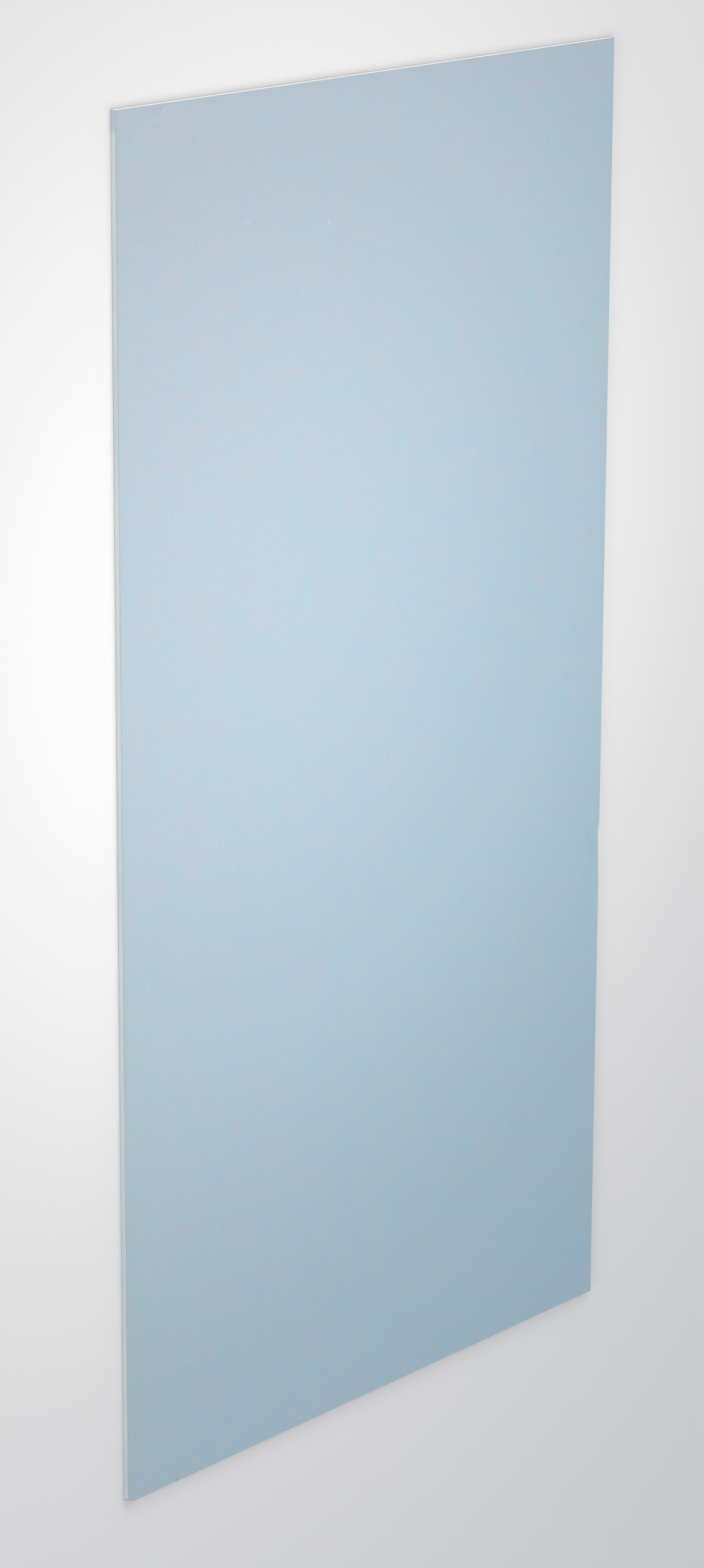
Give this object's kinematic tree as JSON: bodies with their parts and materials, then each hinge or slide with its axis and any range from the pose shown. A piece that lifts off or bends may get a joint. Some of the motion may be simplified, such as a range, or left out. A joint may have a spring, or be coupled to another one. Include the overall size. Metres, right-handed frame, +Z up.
{
  "type": "gypsum plasterboard",
  "caption": "Flat rectangular building board: a gypsum core between a blue face paper, wrapped round its square long edges, and a grey back paper, with both ends cut.",
  "frame": {"origin": "middle of the underside, where the sheet rests on its back paper", "axes": "+X across the width, towards the picture's right long edge; +Y along the length, towards the picture's top end; +Z up through the thickness, out of the blue face"},
  "size_m": [1.2, 2.4, 0.0125],
  "materials": {
    "gypsum": "matte",
    "face_paper": "matte",
    "back_paper": "matte"
  },
  "bodies": {
    "root": {"gypsum_core": "gypsum", "face_paper": "face_paper", "back_paper": "back_paper"}
  },
  "joints": []
}
